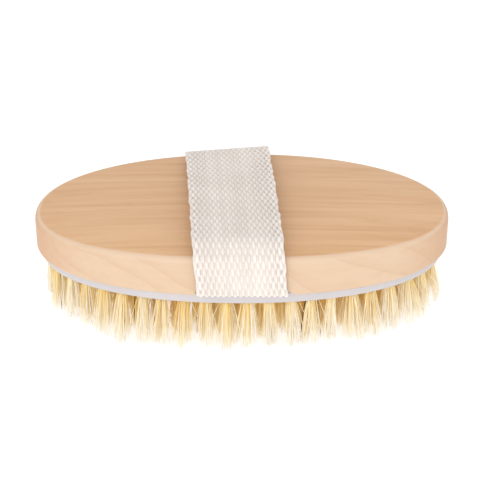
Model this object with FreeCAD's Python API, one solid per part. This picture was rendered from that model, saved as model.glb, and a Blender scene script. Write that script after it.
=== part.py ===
import FreeCAD, Part
import math
import os

# A body dry brush in millimetres: an oval wooden back, a moulded plate with tufts of boar bristle
# under it, and a cotton webbing strap for the hand that is held between the back and the plate.
# X runs along the brush, Y across it and Z up. Z is 0 at the bristle tips, X and Y at the middle.

# Driving dimensions
length = 125.0  # wooden back, end to end
width = 65.0  # wooden back, side to side
height = 33.0  # bristle tips to the middle of the wooden top
back_thickness = 12.7  # at the middle
plate_thickness = 3.5
strap_width = 26.2
strap_thickness = 1.4
hand_gap = 4.8  # clear height under the middle of the strap
tuft_pitch = 6.2  # from tuft to tuft along a ring
ring_pitch = 5.44  # from ring to ring
tuft_splay = 2.2  # how far the tips of the outer ring lean outwards

# Wooden back
back_exponent = 2.19  # of the oval outline: 2 is an ellipse, and more is fuller
back_crown = 1.9  # how much lower the ends of the top are than its middle
top_round = 2.0
bottom_round = 1.0
outline_points = 48

# Tuft plate
plate_exponent = 2.12
plate_inset = 1.8  # inside the wooden outline
plate_bottom_round = 0.5
plate_top_round = 0.3

# Tufts and the flat wire anchors that hold them
hole_radius = 1.25
hole_depth = 2.6
root_radius = 1.2
root_depth = 2.5
tip_radius = 2.4
edge_to_ring = 3.5  # from the plate's edge to the outer ring
end_stretch = 1.25  # the rings lie this many times further apart at their ends
ring_starts = [0.25, 0.0, 0.0, 0.0, 0.0]  # first tuft's place past the front, in tuft pitches
centre_row_tufts = 7
anchor_length = 2.9
anchor_thickness = 0.35
anchor_height = 1.5
anchor_above_mouth = 0.9
anchor_slack = 0.03

# Strap
strap_front_x = 0.0  # its middle where it comes down the front side
strap_rear_x = -4.7  # its middle where it comes down the rear side
strap_gap = 0.5  # to the wooden side
strap_tail = 12.0  # how far its ends reach in between the back and the plate
strap_fit = 0.05
tail_bend = 1.4
edge_bend = 3.0
crest_bend = 220.0
front_shoulder = {"inwards": 3.6, "drop": 0.5, "bend": 5.0}  # in from the vertical part, under the crest
rear_shoulder = {"inwards": 5.8, "drop": 0.9, "bend": 10.0}
edge_rise = 1.1  # the corner over the wooden edge is this much higher than the wooden top
mouth_depth = 3.5  # of the shaped mouth of the strap's recess in the wood
mouth_flat = 0.45  # beside the strap, before the mouth's sloping end
mouth_slope = 3.0
recess_side_gap = 0.9

# Fasteners
staple_y = 24.5
staple_spacing = 12.0
staple_crown = 8.0
staple_wire = 0.6
staple_wire_width = 0.9
staple_leg = 8.0
nail_length = 11.0
nail_radius = 0.6
nail_head_radius = 1.0
nail_head = 0.5
nail_angles = {
    "right": 0, "front_right": -62, "front_left": -118,
    "left": 180, "rear_left": 118, "rear_right": 62,
}

# Levels and half sizes that follow
half_length = length / 2
half_width = width / 2
back_bottom = height - back_thickness
plate_bottom = back_bottom - plate_thickness
plate_half_length = half_length - plate_inset
plate_half_width = half_width - plate_inset
strap_side_y = half_width + strap_gap + strap_thickness / 2
strap_tail_z = back_bottom + strap_fit + strap_thickness / 2
strap_crest_z = height + hand_gap + strap_thickness / 2
recess_top = back_bottom + 2 * strap_fit + strap_thickness


def point(x, y, z):
    return FreeCAD.Vector(x, y, z)


def box(low, high):
    size = high - low
    return Part.makeBox(size.x, size.y, size.z, low)


def oval_wire(a, b, exponent, z):
    # Closed smooth outline |x/a|^n + |y/b|^n = 1.
    points = []
    for i in range(outline_points):
        angle = 2 * math.pi * i / outline_points
        c, s = math.cos(angle), math.sin(angle)
        x = a * math.copysign(abs(c) ** (2 / exponent), c)
        y = b * math.copysign(abs(s) ** (2 / exponent), s)
        points.append(point(x, y, z))
    curve = Part.BSplineCurve()
    curve.interpolate(Points=points, PeriodicFlag=True)
    return Part.Wire(curve.toShape())


def strap_x(y):
    # The middle of the strap's width: it crosses the brush at a slight angle.
    share = (y + strap_side_y) / (2 * strap_side_y)
    return strap_front_x + (strap_rear_x - strap_front_x) * share


def rounded_path(corners):
    # A wire of straight runs in the YZ plane, each inner corner (y, z, radius) turned by an arc.
    corner_points = [point(0, y, z) for y, z, radius in corners]
    edges = []
    start = corner_points[0]
    for i in range(1, len(corners) - 1):
        before = (corner_points[i - 1] - corner_points[i]).normalize()
        after = (corner_points[i + 1] - corner_points[i]).normalize()
        half_turn = (math.pi - before.getAngle(after)) / 2
        radius = corners[i][2]
        reach = radius * math.tan(half_turn)
        arc_start = corner_points[i] + before * reach
        arc_end = corner_points[i] + after * reach
        inwards = (before + after).normalize()
        arc_middle = corner_points[i] + inwards * (radius / math.cos(half_turn) - radius)
        edges.append(Part.LineSegment(start, arc_start).toShape())
        edges.append(Part.Arc(arc_start, arc_middle, arc_end).toShape())
        start = arc_end
    edges.append(Part.LineSegment(start, corner_points[-1]).toShape())
    return Part.Wire(edges)


def ring_tufts(ring):
    # Root places (x, y) along one ring, evenly spaced along an ellipse inside the plate's edge.
    a = plate_half_length - edge_to_ring - ring * ring_pitch * end_stretch
    b = plate_half_width - edge_to_ring - ring * ring_pitch
    steps = 720
    places = [(a * math.sin(math.tau * i / steps), -b * math.cos(math.tau * i / steps))
              for i in range(steps + 1)]
    travelled = [0.0]
    for start, end in zip(places, places[1:]):
        travelled.append(travelled[-1] + math.dist(start, end))
    count = round(travelled[-1] / tuft_pitch)
    spacing = travelled[-1] / count
    roots = []
    step = 0
    for i in range(count):
        wanted = (i + ring_starts[ring]) * spacing
        while travelled[step + 1] < wanted:
            step += 1
        share = (wanted - travelled[step]) / (travelled[step + 1] - travelled[step])
        (x0, y0), (x1, y1) = places[step], places[step + 1]
        roots.append((x0 + share * (x1 - x0), y0 + share * (y1 - y0)))
    return roots


def centre_row():
    middle = (centre_row_tufts - 1) / 2
    return [((i - middle) * tuft_pitch, 0.0) for i in range(centre_row_tufts)]


def lean(x, y):
    # How far a tuft's tip lies outside its root: nothing at the middle, most in the outer ring.
    a, b = plate_half_length - edge_to_ring, plate_half_width - edge_to_ring
    out = point(x / a ** 2, y / b ** 2, 0)
    if out.Length == 0:
        return out
    return out.normalize() * tuft_splay * math.hypot(x / a, y / b)


def anchor(x, y, slack=0.0):
    middle = point(x, y, plate_bottom + anchor_above_mouth + anchor_height / 2)
    half = point(anchor_length / 2 + slack, anchor_thickness / 2 + slack, anchor_height / 2 + slack)
    return box(middle - half, middle + half)


def tuft(x, y):
    # A bundle folded over its anchor: a straight root in the plate, then a fan down to the tips.
    root, tip = point(x, y, 0), point(x, y, 0) + lean(x, y)
    sections = [
        Part.makeCircle(root_radius, root + point(0, 0, plate_bottom + root_depth)),
        Part.makeCircle(root_radius, root + point(0, 0, plate_bottom)),
        Part.makeCircle(tip_radius, tip),
    ]
    bundle = Part.makeLoft([Part.Wire(circle) for circle in sections], True, True)
    return bundle.cut(anchor(x, y, anchor_slack))


def tuft_hole(x, y):
    return Part.makeCylinder(hole_radius, hole_depth, point(x, y, plate_bottom))


def staple(side, offset):
    # side is -1 at the front and 1 at the rear. The crown lies in the strap's underside.
    y = side * staple_y
    x = strap_x(y) + offset
    low = back_bottom + strap_fit
    half_crown, half_wire = staple_crown / 2, staple_wire_width / 2
    crown = box(
        point(x - half_crown, y - half_wire, low),
        point(x + half_crown, y + half_wire, low + staple_wire),
    )
    legs = []
    for end in (-1, 1):
        leg_x = x + end * (half_crown - staple_wire / 2)
        legs.append(box(
            point(leg_x - staple_wire / 2, y - half_wire, low),
            point(leg_x + staple_wire / 2, y + half_wire, low + staple_leg),
        ))
    return crown.fuse(legs).removeSplitter()


def nail(angle):
    # Driven up through the plate between the two outer rings of tufts, its head flush below.
    a = plate_half_length - edge_to_ring - end_stretch * ring_pitch / 2
    b = plate_half_width - edge_to_ring - ring_pitch / 2
    x, y = a * math.cos(math.radians(angle)), b * math.sin(math.radians(angle))
    foot = point(x, y, plate_bottom)
    head = Part.makeCone(nail_head_radius, nail_radius, nail_head, foot)
    shank = Part.makeCylinder(nail_radius, nail_length, foot)
    return head.fuse(shank).removeSplitter()


def strap():
    # Webbing swept through the YZ plane from one tail to the other, then sheared along X.
    tail_y = strap_side_y - strap_tail - strap_thickness / 2
    front, rear = [], []
    for corners, side, shoulder in ((front, -1, front_shoulder), (rear, 1, rear_shoulder)):
        shoulder_y = strap_side_y - shoulder["inwards"]
        corners += [
            (side * tail_y, strap_tail_z, 0),
            (side * strap_side_y, strap_tail_z, tail_bend),
            (side * strap_side_y, height + edge_rise, edge_bend),
            (side * shoulder_y, strap_crest_z - shoulder["drop"], shoulder["bend"]),
        ]
    path = rounded_path(front + [(0, strap_crest_z, crest_bend)] + rear[::-1])
    half, t = strap_width / 2, strap_thickness / 2
    section = Part.makePolygon([
        point(-half, -tail_y, strap_tail_z - t), point(half, -tail_y, strap_tail_z - t),
        point(half, -tail_y, strap_tail_z + t), point(-half, -tail_y, strap_tail_z + t),
        point(-half, -tail_y, strap_tail_z - t),
    ])
    ribbon = path.makePipeShell([section], True, False)
    print("strap volume", round(ribbon.Volume), "of", round(path.Length * strap_width * strap_thickness))
    skew = FreeCAD.Matrix()
    skew.A12 = (strap_rear_x - strap_front_x) / (2 * strap_side_y)
    skew.A14 = (strap_rear_x + strap_front_x) / 2
    return ribbon.transformGeometry(skew)


def strap_recess(side):
    # Cut into the underside of the wood: a mouth with sloping ends, and a wider part behind it.
    mouth_y = side * (half_width - mouth_depth)
    tail_y = side * (strap_side_y - strap_tail - strap_thickness / 2 - 1)
    outside_y = side * (half_width + 1)
    x = strap_x(outside_y)
    low = back_bottom - 1
    near, far = x - strap_width / 2 - mouth_flat, x + strap_width / 2 + mouth_flat
    slope = mouth_slope * (recess_top - low) / (recess_top - back_bottom)
    mouth = Part.Face(Part.makePolygon([
        point(near, outside_y, low), point(near, outside_y, recess_top),
        point(far, outside_y, recess_top), point(far + slope, outside_y, low),
        point(near, outside_y, low),
    ]))
    mouth = mouth.extrude(point(0, mouth_y - outside_y, 0))
    reach = strap_width / 2 + recess_side_gap
    left = min(strap_x(mouth_y), strap_x(tail_y)) - reach
    right = max(strap_x(mouth_y), strap_x(tail_y)) + reach
    pocket = box(
        point(left, min(mouth_y, tail_y), low),
        point(right, max(mouth_y, tail_y), recess_top),
    )
    return [mouth, pocket]


def edges_between(body, low, high):
    # The edges of a body that lie wholly between two levels.
    return [edge for edge in body.Edges
            if edge.BoundBox.ZMin > low - 0.01 and edge.BoundBox.ZMax < high + 0.01]


def wooden_back(fasteners):
    outline = Part.Face(oval_wire(half_length, half_width, back_exponent, back_bottom))
    prism = outline.extrude(point(0, 0, back_thickness + 1))
    crown_radius = (half_length ** 2 + back_crown ** 2) / (2 * back_crown)
    crown = Part.makeCylinder(
        crown_radius, 2 * width, point(0, -width, height - crown_radius), point(0, 1, 0)
    )
    body = prism.common(crown).removeSplitter()
    body = body.makeFillet(top_round, edges_between(body, back_bottom + 1, height))
    body = body.makeFillet(bottom_round, edges_between(body, back_bottom, back_bottom))
    return body.cut(strap_recess(-1) + strap_recess(1) + fasteners)


def tuft_plate(places, nails):
    outline = Part.Face(oval_wire(plate_half_length, plate_half_width, plate_exponent, plate_bottom))
    body = outline.extrude(point(0, 0, plate_thickness))
    body = body.makeFillet(plate_bottom_round, edges_between(body, plate_bottom, plate_bottom))
    body = body.makeFillet(plate_top_round, edges_between(body, back_bottom, back_bottom))
    sockets = [tuft_hole(x, y) for x, y in places] + [anchor(x, y) for x, y in places]
    return body.cut(sockets + nails)


parts = {}
rows = {f"ring_{ring + 1}": ring_tufts(ring) for ring in range(len(ring_starts))}
rows["centre_row"] = centre_row()
for row, places in rows.items():
    parts[f"bristle_tufts_{row}"] = Part.makeCompound([tuft(x, y) for x, y in places])
    parts[f"tuft_anchors_{row}"] = Part.makeCompound([anchor(x, y) for x, y in places])

staples = {}
for end, side in (("front", -1), ("rear", 1)):
    for hand, offset in (("left", -staple_spacing / 2), ("right", staple_spacing / 2)):
        staples[f"strap_staple_{end}_{hand}"] = staple(side, offset)
nails = {f"plate_nail_{place}": nail(angle) for place, angle in nail_angles.items()}
parts.update(staples)
parts.update(nails)

all_places = [place for places in rows.values() for place in places]
parts["wooden_back"] = wooden_back(list(staples.values()) + list(nails.values()))
parts["tuft_plate"] = tuft_plate(all_places, list(nails.values()))
parts["hand_strap"] = strap().cut(list(staples.values()))

os.makedirs("parts", exist_ok=True)
for name, shape in parts.items():
    shape.exportStep(f"parts/{name}.step")
    print(name, len(shape.Solids), "solids", round(shape.Volume, 1), "mm3", shape.isValid())
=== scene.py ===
import bpy
import math
import numpy as np
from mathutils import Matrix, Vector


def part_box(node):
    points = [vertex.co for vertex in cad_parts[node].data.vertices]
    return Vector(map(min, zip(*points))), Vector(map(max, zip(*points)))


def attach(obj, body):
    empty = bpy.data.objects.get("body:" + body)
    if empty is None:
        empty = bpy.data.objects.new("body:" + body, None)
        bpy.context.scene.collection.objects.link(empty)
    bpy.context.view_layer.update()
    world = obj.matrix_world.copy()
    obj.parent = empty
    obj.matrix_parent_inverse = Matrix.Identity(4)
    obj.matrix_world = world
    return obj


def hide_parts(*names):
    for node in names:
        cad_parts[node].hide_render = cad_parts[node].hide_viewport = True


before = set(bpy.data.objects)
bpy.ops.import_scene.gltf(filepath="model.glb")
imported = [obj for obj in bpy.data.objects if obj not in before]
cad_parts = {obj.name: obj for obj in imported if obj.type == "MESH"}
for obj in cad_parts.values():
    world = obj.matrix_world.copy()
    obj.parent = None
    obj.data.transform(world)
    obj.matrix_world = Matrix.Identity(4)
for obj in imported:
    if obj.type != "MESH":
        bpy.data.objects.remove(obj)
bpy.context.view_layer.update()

backLow, backHigh = (np.array(corner, float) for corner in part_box("wooden_back"))
plateLow, plateHigh = (np.array(corner, float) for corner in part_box("tuft_plate"))
strapLow, strapHigh = (np.array(corner, float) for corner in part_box("hand_strap"))
mm = 0.001
fullTurn = 6.28  # radians, for random turns
goldenAngle = 2.39996
rng = np.random.default_rng(20)
print("frame loaded")


def putMesh(name, points, quads, triangles=(), attributes=None, uv=None):
    # a mesh object from whole arrays: points (n, 3), quads (m, 4), triangles (k, 3)
    quads, triangles = np.asarray(quads, int).reshape(-1, 4), np.asarray(triangles, int).reshape(-1, 3)
    corners = np.concatenate([quads.ravel(), triangles.ravel()])
    sizes = np.concatenate([np.full(len(quads), 4), np.full(len(triangles), 3)])
    mesh = bpy.data.meshes.new(name)
    mesh.vertices.add(len(points))
    mesh.vertices.foreach_set("co", np.asarray(points, np.float32).ravel())
    mesh.loops.add(len(corners))
    mesh.loops.foreach_set("vertex_index", corners.astype(np.int32))
    mesh.polygons.add(len(sizes))
    starts = np.concatenate([[0], np.cumsum(sizes)[:-1]])
    mesh.polygons.foreach_set("loop_start", starts.astype(np.int32))
    mesh.update(calc_edges=True)
    mesh.validate()
    mesh.polygons.foreach_set("use_smooth", np.ones(len(sizes), bool))
    for key, values in (attributes or {}).items():
        layer = mesh.attributes.new(key, "FLOAT", "POINT")
        layer.data.foreach_set("value", np.asarray(values, np.float32).ravel())
    if uv is not None:
        layer = mesh.uv_layers.new(name="alongAndRound")
        layer.data.foreach_set("uv", np.asarray(uv, np.float32)[corners].ravel())
    piece = bpy.data.objects.new(name, mesh)
    bpy.context.scene.collection.objects.link(piece)
    return piece


def tubeFaces(tubes, stations, sides):
    # closed tubes, each of stations rings of sides points: quads round the sides, and fans over the ends
    ring = np.arange(sides)
    across = (ring + 1) % sides
    s = np.arange(stations - 1)[:, None] * sides
    one = np.stack([s + ring, s + across, s + sides + across, s + sides + ring], -1).reshape(-1, 4)
    fan = np.stack([np.zeros(sides - 2, int), ring[2:], ring[1:-1]], -1)
    ends = np.concatenate([fan, fan[:, ::-1] + (stations - 1) * sides])
    offset = (np.arange(tubes) * stations * sides)[:, None, None]
    return (one + offset).reshape(-1, 4), (ends + offset).reshape(-1, 3)


def addNode(tree, kind, sockets=None, **settings):
    # a new node, its properties set first and then the values on its sockets
    made = tree.nodes.new(kind)
    for key, value in settings.items():
        setattr(made, key, value)
    for key, value in (sockets or {}).items():
        made.inputs[key].default_value = value
    return made


def newMaterial(name, sockets):
    # a material with one Principled shader, and the values on that shader's own sockets
    material = bpy.data.materials.new(name)
    material.use_nodes = True
    tree = material.node_tree
    shader = tree.nodes["Principled BSDF"]
    for key, value in sockets.items():
        shader.inputs[key].default_value = value
    return material, tree, shader


def addRamp(tree, source, stops):
    # a colour ramp from (place, colour) pairs, fed by source
    ramp = addNode(tree, "ShaderNodeValToRGB")
    while len(ramp.color_ramp.elements) < len(stops):
        ramp.color_ramp.elements.new(0.5)
    for element, (place, colour) in zip(ramp.color_ramp.elements, stops):
        element.position = place
        element.color = (*colour, 1)
    tree.links.new(source, ramp.inputs["Fac"])
    return ramp.outputs["Color"]


def addShare(tree, source, start, end, most=1.0):
    # grows evenly from 0 to most while source goes from start to end
    return addRamp(tree, source, [(start, (0, 0, 0)), (end, (most, most, most))])


def stretchedNoise(tree, stretch, sockets, place=(0, 0, 0)):
    # noise on Object coordinates, each axis multiplied by its own number of cells per metre
    where = addNode(tree, "ShaderNodeTexCoord")
    mapping = addNode(tree, "ShaderNodeMapping", {"Scale": stretch, "Location": place})
    noise = addNode(tree, "ShaderNodeTexNoise", {"Scale": 1.0, **sockets})
    tree.links.new(where.outputs["Object"], mapping.inputs["Vector"])
    tree.links.new(mapping.outputs["Vector"], noise.inputs["Vector"])
    return noise.outputs["Fac"]


def mixColours(tree, first, second, share, how="MIX"):
    # first turned into second by share, or multiplied by it: each may be a colour or a socket
    mix = addNode(tree, "ShaderNodeMix", data_type="RGBA", blend_type=how)
    for socket, value in ((mix.inputs[0], share), (mix.inputs[6], first), (mix.inputs[7], second)):
        if isinstance(value, bpy.types.NodeSocket):
            tree.links.new(value, socket)
        else:
            socket.default_value = value if isinstance(value, (int, float)) else (*value, 1)
    return mix.outputs[2]


def tint(tree, colour, source, stops):
    # the colour times a ramp of source
    return mixColours(tree, colour, addRamp(tree, source, stops), 1.0, "MULTIPLY")


def addBump(tree, shader, height, strength, distance, before=None):
    # tilts the shader's normal by height, on top of an earlier bump where there is one
    bump = addNode(tree, "ShaderNodeBump", {"Strength": strength, "Distance": distance})
    tree.links.new(height, bump.inputs["Height"])
    if before is not None:
        tree.links.new(before, bump.inputs["Normal"])
    tree.links.new(bump.outputs["Normal"], shader.inputs["Normal"])
    return bump.outputs["Normal"]


def doMaths(tree, operation, *values):
    # one Maths node on values that may be numbers or sockets
    maths = addNode(tree, "ShaderNodeMath", operation=operation)
    for socket, value in zip(maths.inputs, values):
        if isinstance(value, bpy.types.NodeSocket):
            tree.links.new(value, socket)
        else:
            socket.default_value = value
    return maths.outputs[0]


def paint(node, material):
    # gives a CAD node its material
    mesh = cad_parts[node].data
    mesh.materials.clear()
    mesh.materials.append(material)


one = (1, 1, 1)  # no tint
wood = {
    "pale": (0.765, 0.486, 0.274), "middle": (0.720, 0.436, 0.232), "deep": (0.640, 0.366, 0.184),
    # side: paler and greyer than the top, partly the sawn wood and partly painted light for the
    # brighter-lit sides; the rim's paler colour is a painted highlight
    "side": (0.692, 0.503, 0.345), "end": (0.620, 0.366, 0.212), "edge": (0.755, 0.548, 0.385),
    "frontTint": (1.03, 1.00, 0.95), "rearSheenTint": (0.968, 0.985, 1.075),  # painted sheen: the colour greys and blues towards the rear
    "heart": {"Location": (0.0, 0.017, 0.085), "Rotation": (0, 0.03, 0.05), "Scale": (0.35, 1, 1)},
    "rings": {"Scale": 62.0, "Distortion": 5.0, "Detail": 3.0, "Detail Scale": 0.35}, "ringShare": 0.34,
    "slope": {"Rotation": (0, -0.5, 0), "Location": (0.004, 0, 0.003)},
    "figure": {"Scale": 37.0, "Distortion": 6.0, "Detail": 1.0, "Detail Scale": 1.0},
    "gloss": (0.42, 0.58), "fibreBump": (0.20, 0.00010), "fleckBump": (0.2, 0.00010),
}
# each noise: its cells per metre along x, y and z, its other settings, and its place
woodNoises = {
    "fibres": ((18, 900, 900), {"Detail": 5.0, "Roughness": 0.6}),
    "blotches": ((14, 45, 45), {"Detail": 3.0}, (3, 1, 2)),
    "streaks": ((22, 520, 520), {"Detail": 4.0, "Roughness": 0.55}, (7, 2, 4)),
    "bands": ((6, 120, 120), {"Detail": 2.5, "Distortion": 0.3}, (2, 9, 5)),
    "lines": ((2.5, 85, 85), {"Detail": 2.0, "Distortion": 0.2}, (8, 3, 1)),
    "flecks": ((160, 1500, 1500), {"Detail": 2.0}, (1, 5, 0)),
}
# where on its noise each tint begins, and the tint
topTints = {
    "streaks": [(0.36, (0.950, 0.925, 0.89)), (0.52, one), (0.66, (1.02, 1.025, 1.035))],
    "bands": [(0.36, (0.955, 0.92, 0.865)), (0.50, (0.99, 0.985, 0.975)), (0.66, (1.02, 1.02, 1.02))],
    "lines": [(0.465, one), (0.495, (0.950, 0.915, 0.870)), (0.510, (0.98, 0.965, 0.945)), (0.56, one)],
    "flecks": [(0.64, one), (0.80, (0.89, 0.83, 0.75))],
}
sideTints = {
    "figure": [(0.0, (0.935, 0.900, 0.855)), (0.08, (0.965, 0.945, 0.92)), (0.45, one)],
    "streaks": [(0.34, (0.975, 0.962, 0.945)), (0.52, one), (0.68, (1.01, 1.012, 1.017))],
}


def addWave(tree, where, place, sockets, **settings):
    # a sawtooth wave on Object coordinates that are moved, turned and stretched by place
    mapping = addNode(tree, "ShaderNodeMapping", place)
    wave = addNode(tree, "ShaderNodeTexWave", sockets, wave_profile="SAW", **settings)
    tree.links.new(where.outputs["Object"], mapping.inputs["Vector"])
    tree.links.new(mapping.outputs["Vector"], wave.inputs["Vector"])
    return wave.outputs["Fac"]


def makeTopColour(tree, where, noises):
    # growth rings round an axis along X far under the board, mixed with fibre streaks and pale blotches,
    # times a tint that drifts evenly with Y, a painted sheen greyer towards the rear, times the tints of
    # the other noises
    rings = addWave(tree, where, wood["heart"], wood["rings"], wave_type="RINGS", rings_direction="X")
    ringColour = addRamp(tree, rings, [(0.0, wood["pale"]), (0.72, wood["middle"]), (1.0, wood["deep"])])
    fibreColour = addRamp(tree, noises["fibres"], [(0.30, wood["middle"]), (0.62, wood["pale"])])
    colour = mixColours(tree, fibreColour, ringColour, wood["ringShare"])
    colour = mixColours(tree, colour, wood["pale"], addShare(tree, noises["blotches"], 0.42, 0.70, 0.5))
    spot = addNode(tree, "ShaderNodeSeparateXYZ")
    tree.links.new(where.outputs["Object"], spot.inputs["Vector"])
    rearness = doMaths(tree, "MULTIPLY_ADD", spot.outputs["Y"], 1 / (backHigh[1] - backLow[1]), 0.5)
    # painted sheen: the colour greys and blues towards the rear
    colour = tint(tree, colour, rearness, [(0.0, wood["frontTint"]), (1.0, wood["rearSheenTint"])])
    for name, stops in topTints.items():
        colour = tint(tree, colour, noises[name], stops)
    return colour


def makeSideColour(tree, where, facing, noises):
    # the sides: slanting growth lines, a paler, greyer colour that is partly the sawn wood and partly
    # painted light for the brighter-lit sides, a painted highlight on the rounded edge under the top, and
    # deeper end grain
    figure = addWave(tree, where, wood["slope"], wood["figure"], wave_type="BANDS", bands_direction="Z")
    # the side colour: partly the sawn wood, partly painted light for the brighter-lit sides
    colour = tint(tree, wood["side"], figure, sideTints["figure"])
    # painted highlight: a paler colour on the rounded rim under the top, where the surface faces partly
    # up
    colour = mixColours(tree, colour, wood["edge"], addShare(tree, facing.outputs["Z"], 0.10, 0.75))
    endwise = doMaths(tree, "ABSOLUTE", facing.outputs["X"])
    colour = mixColours(tree, colour, wood["end"], addShare(tree, endwise, 0.45, 0.92))
    return tint(tree, colour, noises["streaks"], sideTints["streaks"])


def makeWoodMaterial():
    # the top's colour where the surface faces up, the sides' elsewhere, with fibres and flecks in relief
    material, tree, shader = newMaterial("waxedHardwood", {})
    where = addNode(tree, "ShaderNodeTexCoord")
    facing = addNode(tree, "ShaderNodeSeparateXYZ")
    tree.links.new(where.outputs["Normal"], facing.inputs["Vector"])
    noises = {name: stretchedNoise(tree, *settings) for name, settings in woodNoises.items()}
    topColour = makeTopColour(tree, where, noises)
    sideColour = makeSideColour(tree, where, facing, noises)
    colour = mixColours(tree, sideColour, topColour, addShare(tree, facing.outputs["Z"], 0.95, 0.990))
    tree.links.new(colour, shader.inputs["Base Color"])
    smooth, rough = wood["gloss"]
    gloss = addRamp(tree, noises["fibres"], [(0.2, (smooth,) * 3), (0.8, (rough,) * 3)])
    tree.links.new(gloss, shader.inputs["Roughness"])
    fibreBump = addBump(tree, shader, noises["fibres"], *wood["fibreBump"])
    addBump(tree, shader, noises["flecks"], *wood["fleckBump"], fibreBump)
    return material


paint("wooden_back", makeWoodMaterial())
print("wood done")


plate = {
    "deep": (0.550, 0.518, 0.530), "pale": (0.592, 0.560, 0.572), "roughness": 0.42,
    "cloudCells": (60, 60, 60), "grainCells": (2600, 2600, 2600), "bump": (0.15, 0.00004),
}
wire = {
    "deep": (0.46, 0.46, 0.47), "pale": (0.64, 0.64, 0.65), "roughness": 0.38,
    "scratchCells": (900, 4000, 4000), "bump": (0.2, 0.00003),
}


def makePlateMaterial():
    # moulded plastic: nearly even colour, with a faint cloudiness and a fine moulded grain
    material, tree, shader = newMaterial("greyMouldedPlastic", {"Roughness": plate["roughness"]})
    clouds = stretchedNoise(tree, plate["cloudCells"], {"Detail": 3.0})
    colour = addRamp(tree, clouds, [(0.3, plate["deep"]), (0.7, plate["pale"])])
    tree.links.new(colour, shader.inputs["Base Color"])
    grain = stretchedNoise(tree, plate["grainCells"], {"Detail": 2.0})
    addBump(tree, shader, grain, *plate["bump"])
    return material


def makeWireMaterial():
    # drawn steel wire: dull with fine scratches along it
    material, tree, shader = newMaterial("drawnWire", {"Metallic": 1.0, "Roughness": wire["roughness"]})
    scratches = stretchedNoise(tree, wire["scratchCells"], {"Detail": 3.0})
    colour = addRamp(tree, scratches, [(0.3, wire["deep"]), (0.7, wire["pale"])])
    tree.links.new(colour, shader.inputs["Base Color"])
    addBump(tree, shader, scratches, *wire["bump"])
    return material


paint("tuft_plate", makePlateMaterial())
wireMaterial = makeWireMaterial()
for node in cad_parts:
    if node.startswith(("tuft_anchors", "strap_staple", "plate_nail")):
        paint(node, wireMaterial)
print("plate and fasteners done")


strap = {
    "width": 26.2 * mm, "thickness": 1.4 * mm, "yarns": 32,
    "pick": 2.3 * mm, "topPick": 1.88 * mm,  # from weft to weft, down the sides and on top
    "topRise": 3 * mm,  # over which the spacing changes
    "crimp": 0.25 * mm, "crimpShape": 1.4, "halfThick": 0.36 * mm, "bulge": 0.55 * mm, "pinch": 0.50 * mm,
    "wander": 0.03 * mm, "wanderKnots": 12, "stepsPerPick": 6, "sides": 8,
    "weftRadius": 0.16 * mm, "weftSides": 6, "weftInset": 0.25 * mm, "stepsPerCrossing": 24,
    # the weft's and core's tones also set their painted dip shade, darker than the tops of the warp
    "turnFrom": 0.86, "weftToneAndShade": 0.3,
    "coreThick": 0.3 * mm, "coreInset": 0.5 * mm, "coreEvery": 3, "coreToneAndShade": 0.4,
    "tail": 12.0 * mm, "tailBend": 1.4 * mm, "edgeRise": 1.1 * mm, "edgeBend": 3.0 * mm,
    "crestBend": 220.0 * mm,
    "front": {"inwards": 3.6 * mm, "drop": 0.5 * mm, "bend": 5.0 * mm},
    "rear": {"inwards": 5.8 * mm, "drop": 0.9 * mm, "bend": 10.0 * mm},
    # how far to the right its middle lies, at shares of its length: at the plate and over each edge
    "slantAt": (0.10, 0.25, 0.75, 0.90), "slant": (0.1 * mm, -1.2 * mm, -4.7 * mm, -5.1 * mm),
    "droop": (2.4 * mm, 0.35 * mm),  # of its left and right edges towards the rear
    "droopFrom": 5 * mm, "droopOver": 36 * mm, "droopBelow": 3 * mm, "droopRise": 4 * mm,
    "edgeWave": 0.12 * mm, "edgeWaves": (1.6 * mm, 0.71 * mm), "edgeWaveShares": (1, 0.8),
}


def roundedLine(corners, step):
    # points along straight runs in the YZ plane, each inner corner (y, z, radius) turned by an arc
    at = np.array([c[:2] for c in corners])
    pieces = [at[:1]]
    for i in range(1, len(corners) - 1):
        back = (at[i - 1] - at[i]) / np.linalg.norm(at[i - 1] - at[i])
        ahead = (at[i + 1] - at[i]) / np.linalg.norm(at[i + 1] - at[i])
        halfTurn = (math.pi - math.acos(back @ ahead)) / 2
        radius = corners[i][2]
        centre = at[i] + (back + ahead) / np.linalg.norm(back + ahead) * radius / math.cos(halfTurn)
        start = at[i] + back * radius * math.tan(halfTurn) - centre
        end = at[i] + ahead * radius * math.tan(halfTurn) - centre
        turn = math.atan2(start[0] * end[1] - start[1] * end[0], start @ end)
        angles = np.linspace(0, turn, max(5, int(abs(turn) * radius / step)))
        c, s = np.cos(angles), np.sin(angles)
        pieces.append(centre + np.stack([c * start[0] - s * start[1], s * start[0] + c * start[1]], -1))
    line = np.concatenate(pieces + [at[-1:]])
    travelled = np.concatenate([[0], np.cumsum(np.linalg.norm(np.diff(line, axis=0), axis=1))])
    even = np.linspace(0, travelled[-1], int(travelled[-1] / step) + 1)
    return np.stack([np.interp(even, travelled, line[:, k]) for k in (0, 1)], -1), even


def strapLine():
    # the strap's middle from the front tail over the top to the rear tail
    half = strap["thickness"] / 2
    sideY, crestZ = strapHigh[1] - half, strapHigh[2] - half
    tailY, tailZ = sideY - strap["tail"] - half, strapLow[2] + half
    ends = []
    for side, shoulder in ((-1, strap["front"]), (1, strap["rear"])):
        ends.append([
            (side * tailY, tailZ, 0), (side * sideY, tailZ, strap["tailBend"]),
            (side * sideY, backHigh[2] + strap["edgeRise"], strap["edgeBend"]),
            (side * (sideY - shoulder["inwards"]), crestZ - shoulder["drop"], shoulder["bend"]),
        ])
    corners = ends[0] + [(0, crestZ, strap["crestBend"])] + ends[1][::-1]
    return roundedLine(corners, strap["pick"] / strap["stepsPerPick"])


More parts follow.
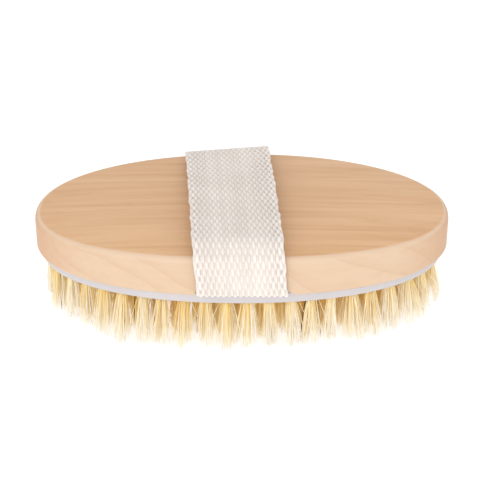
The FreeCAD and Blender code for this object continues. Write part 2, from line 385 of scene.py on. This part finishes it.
def smoothStep(share):
    # 3 s squared less 2 s cubed, level at both ends
    share = np.clip(share, 0, 1)
    return share * share * (3 - 2 * share)


def countPicks(line, travelled):
    # how many weft crossings lie before each point of the line: the sum of the steps over their spacing
    onTop = smoothStep((line[:, 1] - backHigh[2]) / strap["topRise"])
    spacing = strap["pick"] + (strap["topPick"] - strap["pick"]) * onTop
    steps = np.diff(travelled) * 2 / (spacing[1:] + spacing[:-1])
    return np.concatenate([[0], np.cumsum(steps)])


def layOnStrap(line, travelled, along, across, lift):
    # a point at (along, across, lift) of the flat webbing, carried onto the bent and slanting strap:
    # its middle slants by the share of the length, its edges waver as two sines, and its rear droops
    y, z = (np.interp(along, travelled, line[:, k]) for k in (0, 1))
    dy, dz = (np.interp(along, travelled, np.gradient(line[:, k], travelled)) for k in (0, 1))
    size = np.hypot(dy, dz)
    share = along / travelled[-1]
    middle = np.interp(share, strap["slantAt"], strap["slant"])
    outward = 2 * across / strap["width"]
    longWave, shortWave = strap["edgeWaves"]
    longShare, shortShare = strap["edgeWaveShares"]
    waver = longShare * np.sin(along / longWave)
    waver = waver + shortShare * np.sin(along / shortWave + 2 * np.sign(outward))
    across = across + strap["edgeWave"] * waver * outward ** 3
    rearness = smoothStep((y + strap["droopFrom"]) / strap["droopOver"])
    raised = smoothStep((z - backHigh[2] + strap["droopBelow"]) / strap["droopRise"])
    droop = rearness * raised * np.interp(outward, (-1, 1), strap["droop"])
    return np.stack([middle + across, y - dz / size * lift, z + dy / size * lift - droop], -1)


webbing = {
    "yarnDeep": (0.800, 0.738, 0.690), "yarnPale": (0.858, 0.805, 0.760),
    # painted shade: the yarn colour darkened where it lies low, in the dips between and under the yarns
    "dipShade": [(0.0, (0.90, 0.87, 0.835)), (0.6, (0.985, 0.98, 0.97)), (1.0, one)],
    "patches": [(0.35, (0.965, 0.955, 0.95)), (0.62, (1.01, 1.01, 1.01))], "patchCells": (90, 90, 90),
    "twist": (0, 0, 0.6), "fibres": {"Scale": 6.0, "Detail": 3.0}, "bump": (0.35, 0.00006),
    "shader": {"Roughness": 0.9, "Specular IOR Level": 0.2, "Sheen Weight": 0.2, "Sheen Roughness": 0.5},
}


def makeWebbingMaterial():
    # cotton yarn: near white, each yarn its own tone, painted shade darkening it where it lies low in the
    # dips, with fibres twisted round it
    material, tree, shader = newMaterial("cottonWebbing", webbing["shader"])
    tone = addNode(tree, "ShaderNodeAttribute", attribute_name="tone").outputs["Fac"]
    height = addNode(tree, "ShaderNodeAttribute", attribute_name="height").outputs["Fac"]
    colour = addRamp(tree, tone, [(0.0, webbing["yarnDeep"]), (1.0, webbing["yarnPale"])])
    # painted shade in the dips, by how high each point of the yarn lies
    colour = tint(tree, colour, height, webbing["dipShade"])
    patches = stretchedNoise(tree, webbing["patchCells"], {"Detail": 2.0}, (5, 5, 1))
    colour = tint(tree, colour, patches, webbing["patches"])
    tree.links.new(colour, shader.inputs["Base Color"])
    uv = addNode(tree, "ShaderNodeUVMap", uv_map="alongAndRound")
    twist = addNode(tree, "ShaderNodeMapping", {"Rotation": webbing["twist"]})
    fibres = addNode(tree, "ShaderNodeTexNoise", webbing["fibres"])
    tree.links.new(uv.outputs["UV"], twist.inputs["Vector"])
    tree.links.new(twist.outputs["Vector"], fibres.inputs["Vector"])
    addBump(tree, shader, fibres.outputs["Fac"], *webbing["bump"])
    return material


def makeWarp(line, travelled, material):
    # each warp yarn is a flattened tube whose middle rises and falls as a cosine of the length,
    # next yarns in opposite step, wider where it rises over the weft
    yarns, sides, stations = strap["yarns"], strap["sides"], len(line)
    pitch = (strap["width"] - 2 * strap["pinch"]) / (yarns - 1)
    j = np.arange(yarns)[:, None, None]
    s = travelled[None, :, None]
    angle = (np.arange(sides) * 2 * math.pi / sides)[None, None, :]
    wander = rng.normal(0, strap["wander"], (yarns, strap["wanderKnots"]))
    knots = np.linspace(0, travelled[-1], strap["wanderKnots"])
    wobble = np.stack([np.interp(travelled, knots, row) for row in wander])[:, :, None]
    wave = np.cos(math.pi * countPicks(line, travelled)[None, :, None] + math.pi * j)
    shaped = np.tanh(strap["crimpShape"] * wave) / math.tanh(strap["crimpShape"])
    halfWide = strap["pinch"] + (strap["bulge"] - strap["pinch"]) * np.abs(wave)
    across = (j - (yarns - 1) / 2) * pitch + wobble + halfWide * np.cos(angle)
    lift = strap["crimp"] * shaped + strap["halfThick"] * np.sin(angle)
    points = layOnStrap(line, travelled, s + 0 * across, across, lift).reshape(-1, 3)
    quads, ends = tubeFaces(yarns, stations, sides)
    tone = np.broadcast_to(rng.random((yarns, 1, 1)), across.shape)
    height = np.abs(lift) / (strap["crimp"] + strap["halfThick"]) + 0 * across
    uv = np.stack([s / mm + 0 * across, angle / math.pi + 0 * across], -1)
    piece = putMesh("strapWarp", points, quads, ends, {"tone": tone, "height": height}, uv.reshape(-1, 2))
    piece.data.materials.append(material)
    return piece


def makeWeft(line, travelled, material):
    # one yarn that crosses the strap at every pick, a sine of its length, and turns back at each edge
    passed, reach = countPicks(line, travelled), strap["width"] / 2 - strap["weftInset"]
    steps = strap["stepsPerCrossing"]
    turns = np.arange((int(passed[-1]) - 1) * steps)
    crossing = (turns % steps) / (steps - 1) * 2 - 1
    sign = np.where((turns // steps) % 2 == 0, 1, -1)
    across = sign * np.sin(crossing * math.pi / 2) * reach
    pastStart = np.clip((np.abs(crossing) - strap["turnFrom"]) / (1 - strap["turnFrom"]), 0, 1)
    along = np.interp(turns // steps + 1 + 0.5 * np.sign(crossing) * pastStart ** 2, passed, travelled)
    centre = np.stack([along, across], -1)
    ahead = np.gradient(centre, axis=0)
    ahead /= np.linalg.norm(ahead, axis=1, keepdims=True)
    sides, radius = strap["weftSides"], strap["weftRadius"]
    angle = np.arange(sides) * 2 * math.pi / sides
    sideways = np.stack([-ahead[:, 1], ahead[:, 0]], -1)[:, None, :]
    flat = centre[:, None, :] + radius * np.cos(angle)[None, :, None] * sideways
    lift = np.broadcast_to(radius * np.sin(angle), flat.shape[:2])
    points = layOnStrap(line, travelled, flat[..., 0], flat[..., 1], lift).reshape(-1, 3)
    quads, ends = tubeFaces(1, len(centre), sides)
    # the same value sets the weft's tone and its painted shade as a low-lying yarn
    values = np.full(len(points), strap["weftToneAndShade"])
    lengthwise = np.repeat(np.arange(len(centre)) * 0.5, sides)
    uv = np.stack([lengthwise, np.tile(angle / math.pi, len(centre))], -1)
    piece = putMesh("strapWeft", points, quads, ends, {"tone": values, "height": values}, uv)
    piece.data.materials.append(material)
    return piece


def makeCore(line, travelled, material):
    # the filling between the yarns' two faces: a thin closed ribbon along the strap's middle
    halfWide, halfThick = strap["width"] / 2 - strap["coreInset"], strap["coreThick"] / 2
    corner = np.array([[-1, -1], [-0.3, -1], [0.3, -1], [1, -1], [1, 1], [0.3, 1], [-0.3, 1], [-1, 1]])
    stations = travelled[::strap["coreEvery"]]
    along = np.repeat(stations, len(corner))
    section = np.tile(corner, (len(stations), 1))
    points = layOnStrap(line, travelled, along, section[:, 0] * halfWide, section[:, 1] * halfThick)
    quads, ends = tubeFaces(1, len(stations), len(corner))
    # the same value sets the core's tone and its painted shade as filling deep in the strap
    values = np.full(len(points), strap["coreToneAndShade"])
    uv = np.stack([along / mm, section[:, 0]], -1)
    piece = putMesh("strapCore", points, quads, ends, {"tone": values, "height": values}, uv)
    piece.data.materials.append(material)
    return piece


webbingMaterial = makeWebbingMaterial()
strapMiddle, strapTravelled = strapLine()
strapCore = makeCore(strapMiddle, strapTravelled, webbingMaterial)
strapWarp = makeWarp(strapMiddle, strapTravelled, webbingMaterial)
strapWeft = makeWeft(strapMiddle, strapTravelled, webbingMaterial)
for piece in (strapCore, strapWarp, strapWeft):
    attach(piece, "root")
    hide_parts("hand_strap")


tuft = {
    "pitch": 6.2 * mm, "ringPitch": 5.44 * mm, "edgeToRing": 3.5 * mm, "endStretch": 1.25,
    "starts": (0.25, 0.0, 0.0, 0.0, 0.0), "centreRow": 7, "outlineSteps": 721,
    "splay": 2.2 * mm, "endLean": 0.5,  # share of the lean that is left along the brush
    "bristles": 110, "rootRadius": 1.15 * mm, "tipRadius": 2.75 * mm, "spotScatter": 0.04,
    "clumps": 5, "clumpPull": 0.35, "clumpTurn": 0.7, "clumpOut": (0.35, 0.75), "clumpLean": 0.50 * mm,
    "hairSpread": (1.0, 0.14), "tuftSpread": (1.06, 0.18),  # mean and scatter of the tip radius
    "tuftLean": 0.60 * mm, "tipScatter": 0.34 * mm, "strayShare": 0.07, "strayScatter": 2.7 * mm,
    # how much shorter the hairs end: by clump, by hair, a few by more, and at the tuft's edge
    "clumpShort": 0.70 * mm, "hairShort": 0.45 * mm, "tailShort": 0.35 * mm, "edgeShort": 0.5 * mm,
    "mostShort": 5 * mm, "lowest": 0.08 * mm, "depth": 0.9 * mm,
    "rootThick": 0.110 * mm, "tipThick": 0.078 * mm, "thickScatter": 0.12, "tipTaper": 0.45,
    "bow": 0.28 * mm, "flare": 0.75, "stations": 6, "sides": 3,
    "tones": {"ring_1": 0.73, "ring_2": 0.25}, "innerShadeTone": 0.14,  # outer ring paler, inner rings darker amber: painted light and shade between the rows
    "hairTone": 0.27, "tuftTone": 0.10, "strayPaler": 0.25, "lowestTone": 0.08, "darkShare": 0.011,
}


def ringRoots(ring):
    # tuft places evenly spaced by length along an ellipse inside the plate's edge, from the front round
    a = plateHigh[0] - tuft["edgeToRing"] - ring * tuft["ringPitch"] * tuft["endStretch"]
    b = plateHigh[1] - tuft["edgeToRing"] - ring * tuft["ringPitch"]
    t = np.linspace(0, 2 * math.pi, tuft["outlineSteps"])
    line = np.stack([a * np.sin(t), -b * np.cos(t)], -1)
    travelled = np.concatenate([[0], np.cumsum(np.linalg.norm(np.diff(line, axis=0), axis=1))])
    count = round(travelled[-1] / tuft["pitch"])
    wanted = (np.arange(count) + tuft["starts"][ring]) * travelled[-1] / count
    return np.stack([np.interp(wanted, travelled, line[:, k]) for k in (0, 1)], -1)


def leanOf(roots):
    # tips lie outside their roots: nothing at the middle, most in the outer ring
    a, b = plateHigh[:2] - tuft["edgeToRing"]
    out = roots / np.array([a, b]) ** 2
    size = np.linalg.norm(out, axis=1, keepdims=True)
    share = np.hypot(roots[:, :1] / a, roots[:, 1:] / b)
    return out / np.maximum(size, 1e-9) * share * tuft["splay"] * np.array([tuft["endLean"], 1])


def bristleEnds(roots):
    # each bristle goes from a spot in the root disc to the same spot of the wider tip disc: spots lie on
    # a sunflower spiral, and each tip is drawn towards the nearest of a few clump points, which lean
    # their own way; gives both ends in plan, the tip's height, and which bristles stray
    count, bristles, clumps = len(roots), tuft["bristles"], tuft["clumps"]
    spiral = np.arange(bristles)
    scatter = rng.normal(0, tuft["spotScatter"], (count, bristles))
    radius = np.sqrt((spiral + 0.5) / bristles)[None, :] + scatter
    turn = spiral[None, :] * goldenAngle + rng.random((count, 1)) * fullTurn
    spot = np.stack([radius * np.cos(turn), radius * np.sin(turn)], -1)
    clumpTurn = np.arange(clumps)[None, :] + rng.random((count, clumps)) * tuft["clumpTurn"]
    clumpTurn = clumpTurn * fullTurn / clumps
    clumpOut = rng.uniform(*tuft["clumpOut"], (count, clumps))
    clumpSpot = np.stack([clumpOut * np.cos(clumpTurn), clumpOut * np.sin(clumpTurn)], -1)
    nearest = np.linalg.norm(spot[:, :, None] - clumpSpot[:, None], axis=-1).argmin(-1)[..., None]
    clumpLean = rng.normal(0, tuft["clumpLean"], (count, clumps, 2))
    tipSpot = spot + tuft["clumpPull"] * (np.take_along_axis(clumpSpot, nearest, 1) - spot)
    hairSpread = rng.normal(*tuft["hairSpread"], (count, bristles, 1))
    spread = hairSpread * rng.normal(*tuft["tuftSpread"], (count, 1, 1))
    tuftLean = (leanOf(roots) + rng.normal(0, tuft["tuftLean"], (count, 2)))[:, None, :]
    start = roots[:, None, :] + spot * tuft["rootRadius"]
    end = roots[:, None, :] + tuftLean + tipSpot * tuft["tipRadius"] * spread
    end += np.take_along_axis(clumpLean, nearest, 1) + rng.normal(0, tuft["tipScatter"], spot.shape)
    stray = rng.random((count, bristles)) < tuft["strayShare"]
    end += stray[..., None] * rng.normal(0, tuft["strayScatter"], spot.shape)
    clumpShort = np.abs(rng.normal(0, tuft["clumpShort"], (count, clumps)))
    hairShort = np.abs(rng.normal(0, tuft["hairShort"], (count, bristles)))
    short = hairShort + rng.exponential(tuft["tailShort"], (count, bristles))
    short += np.take_along_axis(clumpShort, nearest[..., 0], 1) + tuft["edgeShort"] * radius ** 2
    low = tuft["lowest"] + np.minimum(short, tuft["mostShort"])
    return start, end, low, stray


def makeBristles(name, roots, meanTone):
    # each bristle is a thin three-sided tube between its ends that flares out as a power of its length
    # and bows as half a sine, thins as the square of its length and tapers at the tip, with its own tone
    count, bristles, stations = len(roots), tuft["bristles"], tuft["stations"]
    start, end, low, stray = bristleEnds(roots)
    high = plateLow[2] + tuft["depth"]
    t = np.linspace(0, 1, stations)[None, None, :, None]
    bow = rng.normal(0, tuft["bow"], (count, bristles, 1, 2))
    outward = (end - start)[:, :, None, :] * t ** tuft["flare"]
    plan = start[:, :, None, :] + outward + bow * np.sin(math.pi * t)
    level = high + (low[:, :, None] - high) * t[..., 0]
    thick = tuft["rootThick"] + (tuft["tipThick"] - tuft["rootThick"]) * t[..., 0] ** 2
    thick = thick * rng.normal(1.0, tuft["thickScatter"], (count, bristles, 1))
    thick = thick * np.where(t[..., 0] == 1, tuft["tipTaper"], 1.0)
    side = np.arange(tuft["sides"]) * 2 * math.pi / tuft["sides"]
    angle = side[None, None, None, :] - rng.random((count, bristles, 1, 1)) * fullTurn
    points = np.empty((count, bristles, stations, tuft["sides"], 3))
    points[..., 0] = plan[..., 0:1] + thick[..., None] * np.cos(angle)
    points[..., 1] = plan[..., 1:2] + thick[..., None] * np.sin(angle)
    points[..., 2] = level[..., None]
    quads, ends = tubeFaces(count * bristles, stations, tuft["sides"])
    hairTone = rng.normal(meanTone, tuft["hairTone"], (count, bristles))
    tone = hairTone + rng.normal(0, tuft["tuftTone"], (count, 1)) + tuft["strayPaler"] * stray
    tone = tuft["lowestTone"] + (1 - tuft["lowestTone"]) * np.clip(tone, 0, 1)
    tone = np.where(rng.random((count, bristles)) < tuft["darkShare"], 0.0, tone)
    shape = points.shape[:4]
    attributes = {
        "tone": np.broadcast_to(tone[:, :, None, None], shape),
        "along": np.broadcast_to(t, shape),
    }
    return putMesh(name, points.reshape(-1, 3), quads[:, ::-1], ends[:, ::-1], attributes)


hair = {
    # colours at four tones: the few dark hairs, then from amber to nearly white
    "tones": (0.04, 0.08, 0.5, 1.0),
    "roots": ((0.06, 0.04, 0.02), (0.88, 0.54, 0.06), (0.97, 0.73, 0.24), (0.99, 0.88, 0.63)),
    "tips": ((0.12, 0.08, 0.05), (0.97, 0.80, 0.48), (0.99, 0.91, 0.71), (0.997, 0.972, 0.92)),
    "through": ((0, 0, 0), (1.0, 0.50, 0.01), (1.0, 0.57, 0.08), (1.0, 0.69, 0.33)),
    "tipPalingAndRootShade": (0.10, 0.85),  # shares of its length over which root amber turns to tip cream: partly the bristle's own colour, partly painted shade near the plate
    "shader": {"Roughness": 0.5, "Specular IOR Level": 0.15, "Emission Strength": 0.075},
}


def makeBristleMaterial():
    # amber at the root and cream at the split tip, partly its own colour and partly painted shade near
    # the plate, each bristle its own tone, a few nearly black, with a faint warm painted glow for the
    # daylight that passes through it
    material, tree, shader = newMaterial("boarBristle", hair["shader"])
    tone = addNode(tree, "ShaderNodeAttribute", attribute_name="tone").outputs["Fac"]
    along = addNode(tree, "ShaderNodeAttribute", attribute_name="along").outputs["Fac"]
    rootColour, tipColour, glow = (
        addRamp(tree, tone, list(zip(hair["tones"], hair[name]))) for name in ("roots", "tips", "through")
    )
    # root amber to tip cream along the length: partly the bristle's own colour, partly painted shade near
    # the plate
    colour = mixColours(tree, rootColour, tipColour, addShare(tree, along, *hair["tipPalingAndRootShade"]))
    tree.links.new(colour, shader.inputs["Base Color"])
    tree.links.new(glow, shader.inputs["Emission Color"])
    return material


bristleMaterial = makeBristleMaterial()
rows = {f"ring_{ring + 1}": ringRoots(ring) for ring in range(len(tuft["starts"]))}
steps = np.arange(tuft["centreRow"]) - (tuft["centreRow"] - 1) / 2
rows["centre_row"] = np.stack([steps * tuft["pitch"], 0 * steps], -1)
for row, roots in rows.items():
    # outer ring pale, inner rings darker amber: painted light and shade between the rows
    piece = makeBristles("bristles_" + row, roots, tuft["tones"].get(row, tuft["innerShadeTone"]))
    piece.data.materials.append(bristleMaterial)
    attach(piece, "root")
    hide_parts("bristle_tufts_" + row)
    print(row, len(roots), "tufts")


studio = {
    "distance": 0.500, "elevation": 30.06, "lowerAim": 1.455, "sideAim": 0.126,
    "lens": 121.6, "sensor": 36.0,
    "sky": 0.86, "keyPower": 9.0, "keyPlace": (-0.25, -1.5, 0.75), "keyAim": (0, 0, 0.02), "keySize": 1.3,
    "floorReach": 3.0, "floorGrey": 0.55, "floorSpeckle": 0.01, "floorGlow": 0.68,
}


def aim(thing, target):
    # turns a light so that its -Z looks at target: tipped from straight down, then swung round Z
    toward = np.array(target) - np.array(thing.location)
    flat = math.hypot(toward[0], toward[1])
    thing.rotation_euler = (math.atan2(flat, -toward[2]), 0, math.atan2(-toward[0], toward[1]))


def makeCamera():
    # stands back from the middle of the wooden top, and looks a little under it
    data = bpy.data.cameras.new("camera")
    data.lens, data.sensor_width, data.clip_start = studio["lens"], studio["sensor"], 0.01
    camera = bpy.data.objects.new("camera", data)
    bpy.context.scene.collection.objects.link(camera)
    rise = math.radians(studio["elevation"])
    away = studio["distance"]
    camera.location = (0, -away * math.cos(rise), backHigh[2] + away * math.sin(rise))
    down = math.radians(90 - studio["elevation"] - studio["lowerAim"])
    camera.rotation_euler = (down, 0, -math.radians(studio["sideAim"]))
    bpy.context.scene.camera = camera


def makeFloor():
    # one large square, nearly even in colour, lit from below as a light table is
    reach, grey = studio["floorReach"], studio["floorGrey"]
    corners = np.array([[-1, -1, 0], [1, -1, 0], [1, 1, 0], [-1, 1, 0]]) * reach
    floor = putMesh("floor", corners, [[0, 1, 2, 3]])
    material, tree, shader = newMaterial("whitePaper", {
        "Roughness": 0.95, "Specular IOR Level": 0.1,
        "Emission Color": (1, 1, 1, 1), "Emission Strength": studio["floorGlow"],
    })
    speckle = stretchedNoise(tree, (8, 8, 8), {"Detail": 2.0})
    paler = grey + studio["floorSpeckle"]
    colour = addRamp(tree, speckle, [(0.3, (grey,) * 3), (0.7, (paler,) * 3)])
    tree.links.new(colour, shader.inputs["Base Color"])
    floor.data.materials.append(material)


def makeLights():
    # an even white sky, and one large round light high in front, a little to the left
    world = bpy.data.worlds.new("sky")
    bpy.context.scene.world = world
    world.use_nodes = True
    background = world.node_tree.nodes["Background"]
    background.inputs["Color"].default_value = (1.0, 1.0, 1.0, 1)
    background.inputs["Strength"].default_value = studio["sky"]
    data = bpy.data.lights.new("key", "AREA")
    data.shape, data.size, data.energy = "DISK", studio["keySize"], studio["keyPower"]
    key = bpy.data.objects.new("key", data)
    bpy.context.scene.collection.objects.link(key)
    key.location = studio["keyPlace"]
    aim(key, studio["keyAim"])


makeCamera()
makeFloor()
makeLights()
bpy.context.scene.view_settings.view_transform = "Standard"
print("studio done")
